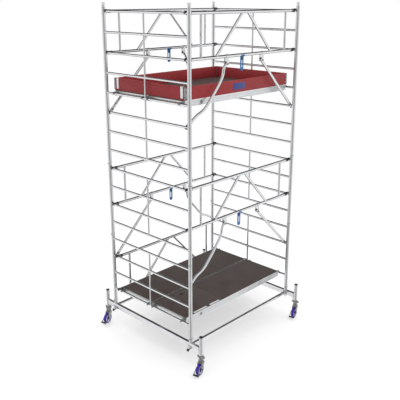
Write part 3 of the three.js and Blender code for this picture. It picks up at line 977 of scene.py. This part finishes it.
def guard_welds(s):
    for low, high, radius in GUARD_BARS:
        foot, top = Vector((low, 0, 0)), Vector((high, 0, GUARD_HEIGHT))
        way = top - foot
        s.bead(foot, way, radius, (1, 0, 0), RAIL)
        s.bead(top, -way, radius, (1, 0, 0), RAIL)


def guard_claws(s):
    """The four claws at a guardrail's ends, each with the socket that grips its rail."""
    socket = [(0, RAIL + 0.4), (1.5, RAIL + 3), (38, RAIL + 3), (44, RAIL - 2), (52, 9)]
    for z in (0, GUARD_HEIGHT):
        for end in BOTH:
            claw(s, end * BAY_X, z, -20, 200)
            s.turned((end * (BAY_X - 70), 0, z), (end, 0, 0), socket, 28)


def guard_latches(s):
    length = 2 * RAIL + 12
    pin = [(0, 4), (1, 5), (length - 1, 5), (length, 4)]
    for z in (0, GUARD_HEIGHT):
        for end in BOTH:
            end_latch(s, end, z, 58)
            s.turned((end * (BAY_X - 42), -RAIL - 6, z), (0, 1, 0), pin, 16)


def brace_bracket(s):
    """The strap over the knee rail whose cheeks carry a brace's pivot."""
    half = 17.5
    cheek = [(-half, 4), *arc(0, -PIVOT_DROP, half, 180, 360, 14), (half, 4)]
    s.cheeks(cheek, 18.2, 4, 0.7)
    s.plate(band(0, 0, 22.6, 18.7, 0, 180, 20), -half, half, YZ, edge=0.6)


def pivot_bolt(s):
    """The pivot's bolt along Y, its head and its nut outside the cheeks."""
    s.tube((0, -24, 0), (0, 24, 0), 5, 16)
    washer = [(-0.2, 10), (1.4, 10), (1.6, 9.6)]
    nut = [(1.5, 8.6), (6, 8.6), (7.2, 7.4)]
    s.bolt_ends(0, 22.2, 0, (washer, 20), (nut, 6))


def brace_line(sign, points):
    """A brace's centre line about its pivot."""
    return [(sign * (PIVOT_FROM_RUNG - x), 0, PIVOT_DROP - drop) for x, drop in points]


def brace_tube(s, line):
    s.swept(smooth_line(line) if len(line) > 2 else line, BRACE, 28)


def brace_claw(s, line, x, z, start, stop):
    """The claw at a brace's lower end, with its socket on the tube."""
    claw(s, x, z, start, stop)
    tip, before = Vector(line[-1]), Vector(line[-2])
    way = (tip - before).normalized()
    socket = [(0, BRACE + 0.3), (1.5, BRACE + 2.5), (34, BRACE + 2.5), (40, BRACE - 3)]
    s.turned(tip - way * 42, way, socket, 28)


def rail_hook(s):
    """The hook that hangs from a knee rail: a ring and a slotted tongue."""
    half = 26.5
    s.plate(band(0, 0, 25, 20.5, 168, 372, 24), -half, half, YZ, edge=1.2)
    outline = [(-half, -24), *arc(0, -163.5, half, 180, 360, 16), (half, -24)]
    slot = [*arc(3, -139, 11, 180, 360, 8), *arc(3, -73, 11, 0, 180, 8)]
    s.plate(outline, -5, 5, holes=[slot], edge=1.6)
    for x in (-21.5, 21.5):
        s.block((x - 2, -8, -58), (x + 2, 8, -24), edge=1.2)


def hook_bolt(s):
    s.bolt_ends(0, 4, -42, ([(0, 13), (4.5, 13), (6, 11)], 24))


def add_guards():
    tubes = make(guard_tubes, TUBE)
    fittings = [
        make(guard_welds, WELD), make(guard_claws, DARK_CAST), make(guard_latches, BLACK),
    ]
    knees = {
        f"{side}_{level}": (sign * GUARD_PLACE, RUNGS[k])
        for side, sign in SIDES.items() for level, k in (("upper", 2), ("lower", 10))
    }
    for name, (y, z) in (knees | {"back_base": (BASE_GUARD_PLACE, RUNGS[15])}).items():
        place = at(0, y, z, y > 0)
        add(f"guard_{name}", tubes, place, stands_for=f"guard_{name}")
        add_each(name, place, *fittings)
    add_braces(knees)
    add_hooks(knees)


def add_braces(knees):
    bracket = make(brace_bracket, PROFILE)
    bolt = make(pivot_bolt, BLACK)
    kinds = {
        "bent": (-1, BENT_BRACE, (205, 425), (66, 120)),
        "straight": (1, STRAIGHT_BRACE, (-105, 115), (114, 60)),
    }
    for kind, (sign, points, jaw, mouth) in kinds.items():
        *line, (x, _, z) = brace_line(sign, [*points, (0, BRACE_DROP)])
        tube = make(brace_tube, TUBE, line)
        end = make(brace_claw, CAST, line, x, z, *jaw)
        catch = make(latch, BLACK, x, z, *mouth)
        for name, (y, z) in knees.items():
            turned = y > 0
            x = sign * PIVOT_PLACE * (-1 if turned else 1)
            where = f"{kind}_{name}"
            body = f"brace_{where}"
            place = at(x, y, z - PIVOT_DROP, turned)
            add(body, tube, place, body, body)
            add(f"brace_claw_{where}", end, place, body)
            add(f"brace_latch_{where}", catch, place, body)
            add_each(where, at(x, y, z, turned), bracket)
            add_each(where, place, bolt)


def add_hooks(knees):
    hook = make(rail_hook, BLUE)
    bolt = make(hook_bolt, BLACK)
    for name, (y, z) in knees.items():
        turned = y > 0
        place = at(50 if turned else -50, y, z, turned)
        body = f"hook_{name}"
        add(body, hook, place, body, body)
        add(f"hook_bolt_{name}", bolt, place, body)


# ---- decks

def deck_rails(s):
    """The side rails of a deck, grooved on their outer faces, with its end and cross rails."""
    inside = DECK_Y - SIDE_RAIL_WIDTH
    lip_top = DECK_TOP + 0.4
    for side in BOTH:
        outer = side * DECK_Y
        inner = side * inside
        groove = side * (DECK_Y - 1.6)
        lip = side * (DECK_Y - DECK_LIP)
        outline = [(inner, SIDE_RAIL_BOTTOM), (outer, SIDE_RAIL_BOTTOM)]
        for z in (-22, 4, 18):
            outline += [(outer, z - 2.5), (groove, z - 1.5), (groove, z + 1.5), (outer, z + 2.5)]
        outline += [(outer, lip_top), (lip, lip_top), (lip, RAIL_TOP), (inner, RAIL_TOP)]
        s.plate(outline, -DECK_X, DECK_X, YZ, edge=0.5)
    for end in BOTH:
        near = (end * DECK_X, -inside, END_RAIL_BOTTOM)
        far = (end * (DECK_X - END_RAIL_WIDTH), inside, RAIL_TOP)
        s.block(near, far, edge=2.5)
    for x in CROSS_RAILS:
        s.block((x - CROSS_RAIL_WIDTH, -inside, -10), (x, inside, RAIL_TOP), edge=1.5)


def deck_claws(s):
    """The four claws that carry a deck on its rungs, with the arms that hold them."""
    for _, end, side in CORNERS:
        y = side * DECK_CLAW_PLACE
        claw(s, end * BAY_X, 0, -20, 200, y)
        root = (end * (DECK_X - 10), y - 9, 1)
        s.block(root, (end * (BAY_X - 20), y + 9, 23), edge=2.5)
        foot = (end * (DECK_X - 2), y - 26, -22)
        s.block(foot, (end * (DECK_X + 4), y + 26, 26), edge=1.6)


def deck_latches(s):
    for _, end, side in CORNERS:
        end_latch(s, end, 0, 54, side * DECK_CLAW_PLACE)


def deck_board(s, hatched):
    """A board's faces, its rim left to the edge material."""
    x = DECK_X
    y = DECK_Y - DECK_LIP - SEAM_GAP
    hole = oblong(
        HATCH_START - HATCH_GAP, HATCH_START + HATCH_LENGTH + HATCH_GAP,
        HATCH_HINGE - HATCH_GAP, HATCH_HINGE + HATCH_WIDTH + HATCH_GAP,
    )
    holes = [hole] if hatched else []
    s.plate(oblong(-x, x, -y, y), DECK_TOP - BOARD, DECK_TOP, XY, holes, edge=0.8)


def hatch_lid(s):
    x, y = HATCH_START, HATCH_HINGE
    outline = oblong(x, x + HATCH_LENGTH, y, y + HATCH_WIDTH)
    s.plate(outline, DECK_TOP - BOARD, DECK_TOP, XY, edge=0.8)


def make_board(*drawn):
    """A filmed board, with the edge material on its upright faces."""
    data = make(drawn[0], FILM, *drawn[1:], smooth=30)
    data.materials.append(EDGE)
    for face in data.polygons:
        face.material_index = 1 if abs(face.normal.z) < 0.3 else 0
    return data


def rivet(s, x, y, z, radius=5.5):
    dome = [(-0.5, radius), (0.2, radius), (1.1, radius * 0.75), (1.6, radius * 0.35)]
    s.turned((x, y, z), UP, dome, 10)


def deck_rivets(s, hatched):
    """Rivets through the board's rim, spaced evenly along the side rails and the end rails."""
    start, stop = HATCH_START - 20, HATCH_START + HATCH_LENGTH + 20
    for side in BOTH:
        for x in range(-900, 901, 150):
            if not (hatched and side < 0 and start < x < stop):
                rivet(s, x, side * (DECK_Y - 13), DECK_TOP)
    for end in BOTH:
        for y in (-180, -60, 60, 180):
            rivet(s, end * (DECK_X - 18), y, DECK_TOP)


def deck_fitting(s):
    """The round turn-lock on the outer face of the side rail."""
    profile = [(-1, 20), (2, 20), (3.5, 18.5), (3.5, 11), (6, 10), (7, 8)]
    s.turned((-690, -DECK_Y, 0), (0, -1, 0), profile, 32)


def hinge_leaves(s, on_lid):
    """The leaves of the two hatch hinges: on the lid, or on the deck's rim with the barrels."""
    low, high = DECK_TOP - 0.6, DECK_TOP + 2.2
    near = HATCH_HINGE + 6.4
    for start, stop in ((-800, -560), (-500, -320)):
        if on_lid:
            s.block((start, near, low), (stop, near + 13, high), 0.8)
            for x in range(start + 20, stop, 50):
                rivet(s, x, near + 6.5, high, 3.2)
        else:
            s.block((start, HATCH_HINGE - 9, low), (stop, HATCH_HINGE - 4, high), 0.8)
            z = DECK_TOP + 1.5
            s.tube((start, HATCH_HINGE, z), (stop, HATCH_HINGE, z), 4.4, 16)


def hatch_pull(s):
    """The recessed pull near the lid's free edge, with a bar across it."""
    x = HATCH_START + HATCH_LENGTH / 2
    y = HATCH_HINGE + HATCH_WIDTH - 60
    rim = [(0, 24), (1.4, 25), (2.2, 23.5), (2.2, 20), (0.6, 18), (0.6, 0.5)]
    s.turned((x, y, DECK_TOP - 0.5), UP, rim, 28)
    s.block((x - 16, y - 3, DECK_TOP), (x + 16, y + 3, DECK_TOP + 2.4), edge=1.0)


def add_decks():
    rails = make(deck_rails, PROFILE)
    fittings = [make(deck_claws, CAST), make(deck_latches, BLACK)]
    fitting = make(deck_fitting, ZINC)
    fixed, moving = (make(hinge_leaves, SATIN, on_lid) for on_lid in (False, True))
    lid = make_board(hatch_lid)
    pull = make(hatch_pull, BLACK)
    for side, sign in SIDES.items():
        hatched = sign < 0
        board = make_board(deck_board, hatched)
        rivets = make(deck_rivets, ZINC, hatched)
        for level, rung in (("upper", RUNGS[4]), ("lower", RUNGS[15])):
            name = f"{level}_{side}"
            place = at(0, sign * DECK_PLACE, rung)
            frame_node = f"deck_frame_{name}" if hatched else f"deck_{name}"
            board_node = f"deck_panel_{name}" if hatched else None
            add(f"deck_rails_{name}", rails, place, stands_for=frame_node)
            add(f"deck_board_{name}", board, place, stands_for=board_node)
            add(f"deck_rivets_{name}", rivets, place)
            add_each(name, place, *fittings)
            if hatched:
                body = f"hatch_lid_{level}"
                add_each(name, place, fitting)
                add(f"hinge_fixed_{level}", fixed, place)
                add(f"hinge_moving_{level}", moving, place, body)
                add(f"hatch_board_{level}", lid, place, body, body)
                add(f"hatch_pull_{level}", pull, place, body)


# ---- toe boards

def toe_board(s, half_length, half_width):
    opposite = (half_length, half_width, TOE_HEIGHT)
    s.block((-half_length, -half_width, 0), opposite, edge=2.5, segments=3)


def toe_corner(s):
    """The cast angle that joins two toe boards, about the outer corner of the long one."""
    y = TOE_HALF + 2.5
    s.block((-26, -y, 12), (3, y, TOE_HEIGHT - 12), edge=2)
    s.block((-3, -y, 4), (3, y, TOE_HEIGHT - 2), edge=1.5)


def toe_bracket(s):
    """The bright spring plate on a short board's outer face and over its top."""
    outer = (TOE_HALF + 2.5, 20, TOE_HEIGHT + 3)
    s.block((TOE_HALF - 0.5, -20, 18), outer, edge=0.8)
    s.block((-TOE_HALF + 3, -20, TOE_HEIGHT - 1), outer, edge=0.8)


def toe_label(s):
    """A plain raised label on the outer face of the front board. It carries no text."""
    s.plate(oblong(-115, 115, -40, 40), 0, 1.2, edge=0.4)


def add_toe_boards():
    long_board = make(toe_board, RED, DECK_X, TOE_HALF)
    short_board = make(toe_board, RED, TOE_HALF, TOE_OUTER - TOE_THICKNESS - SEAM_GAP)
    corner = make(toe_corner, CAST)
    bracket = make(toe_bracket, SATIN)
    for side, sign in SIDES.items():
        y = sign * (TOE_OUTER - TOE_HALF)
        name = f"toe_board_{side}"
        add(name, long_board, at(0, y, TOE_FOOT), stands_for=name)
        for end, way in ENDS.items():
            place = at(way * DECK_X, y, TOE_FOOT, way < 0)
            add_each(f"{side}_{end}", place, corner)
    for end, sign in ENDS.items():
        x = sign * (DECK_X - TOE_HALF)
        name = f"toe_board_{end}"
        add(name, short_board, at(x, 0, TOE_FOOT), stands_for=name)
        for side, way in SIDES.items():
            place = at(x, way * TOE_BRACKET_PLACE, TOE_FOOT, sign < 0)
            add_each(f"{end}_{side}", place, bracket)
    place = at(-25, -TOE_OUTER, TOE_FOOT + TOE_HEIGHT / 2)
    add("toe_label", make(toe_label, LABEL), place)


# ---- stage

# In metres, from the middle of the floor
FLOOR_REACH = 14
FADE_FROM = 3.0
FADE_TO = 9.0
# How much of the floor's tone is its own light, before the fade
FLOOR_GLOW = 0.45


def floor(s):
    reach = FLOOR_REACH / MM
    outline = [(reach * cos(a), reach * sin(a)) for a in circle(96)]
    s.plate(outline, -20, 0, XY)


def add_floor():
    """A plain pale floor that fades into the white of the studio with distance."""
    n = Nodes("studio_floor")
    place = n.add("TexCoord", out="Object")
    distance = n.add("VectorMath", {0: place}, "Value", operation="LENGTH")
    colour = n.mixed(n.noise(0.6, 2.0, vector=place), grey(0.88), grey(0.90))
    material = n.finish(colour, 0.9)
    seen = n.add("LightPath", out="Is Camera Ray")
    glow = n.add("Emission", {"Color": n.blend(seen, grey(0.55), grey(1.0))})
    fade = n.span(distance, FLOOR_GLOW, 1.0, FADE_FROM, FADE_TO)
    mix = n.add("MixShader", {0: fade, 1: n.shader.outputs[0], 2: glow})
    n.put(n.tree.nodes["Material Output"].inputs["Surface"], mix)
    ground = placed("floor", make(floor, material))
    ground.visible_glossy = False


def add_light(name, place, size, power):
    """A round soft light, aimed at the middle of the tower from a place relative to it."""
    data = bpy.data.lights.new(name, "AREA")
    data.shape = "DISK"
    data.size = size
    data.energy = power
    lamp = placed(name, data)
    middle = BAY_MIDDLE + Vector((0, 0, 2))
    lamp.location = middle + Vector(place)
    lamp.visible_glossy = False
    lamp.rotation_euler = (middle - lamp.location).to_track_quat("-Z", "Y").to_euler()


# What polished metal sees of the studio, as tones. The walls are mid grey along the diagonal that
# the camera looks along and white across it. The ceiling is light in front and dark behind, and
# straight below is white.
WALL_GREY = 0.46
WALL_WHITE = 1.15
CEILING_FRONT = 0.8
CEILING_BACK = 0.025
FLOOR_TONE = 1.15
# Sines of the elevations where the walls meet the ceiling, and the two ends of the floor's fade
GREY_WALL_TOP = 0.22
WHITE_WALL_TOP = 0.42
CEILING_FADE = 0.12
FLOOR_FADE = (-0.55, -0.70)


def mirrored_studio(n):
    """The tone of the studio in each direction, for reflections."""
    direction = n.add("TexCoord", out="Generated")
    x, y, z = (n.part(direction, axis) for axis in "XYZ")
    white = n.span(n.math("MULTIPLY", x, y), 1.0, 0.0, -0.5, 0.2)
    walls = n.span(white, WALL_GREY, WALL_WHITE, 0.0, 1.0)
    ceiling = n.span(n.math("ADD", x, y), CEILING_FRONT, CEILING_BACK, -0.35, 0.05)
    top = n.span(white, GREY_WALL_TOP, WHITE_WALL_TOP, 0.0, 1.0)
    closed = n.span(z, walls, ceiling, top, n.math("ADD", top, CEILING_FADE))
    return n.span(z, closed, FLOOR_TONE, *FLOOR_FADE)


def add_studio():
    """Soft even light. Seen straight on, the studio is plain white."""
    scene = bpy.context.scene
    scene.world = bpy.data.worlds.new("studio")
    n = Nodes("studio", scene.world)
    mix = n.add("Background", {"Color": grey(0.85)})
    for ray, colour in (("Glossy", mirrored_studio(n)), ("Camera", grey(1.0))):
        seen = n.add("Background", {"Color": colour})
        share = n.add("LightPath", out=f"Is {ray} Ray")
        mix = n.add("MixShader", {0: share, 1: mix, 2: seen})
    n.put(n.tree.nodes["World Output"].inputs["Surface"], mix)
    scene.view_settings.view_transform = "Standard"
    add_light("key", (-5.5, -6.5, 5.5), 5.0, 300)
    add_light("fill", (7.5, -4.0, 3.0), 6.0, 140)
    add_light("back", (2.0, 8.0, 5.0), 6.0, 200)
    add_light("ceiling", (0, 0, 7.5), 11.0, 420)


def add_camera():
    data = bpy.data.cameras.new("camera")
    data.lens = 54.741
    data.sensor_width = 36
    data.shift_y = -0.05
    data.clip_end = 200
    camera = placed("camera", data)
    camera.location = MAIN.translation + Vector((-5.7717, -5.4965, 4.5029))
    camera.rotation_euler = (radians(90 - 16.646), 0, radians(-46.110))
    bpy.context.scene.camera = camera


add_ladders()
add_base()
add_casters()
add_guards()
add_decks()
add_toe_boards()
add_floor()
add_studio()
add_camera()
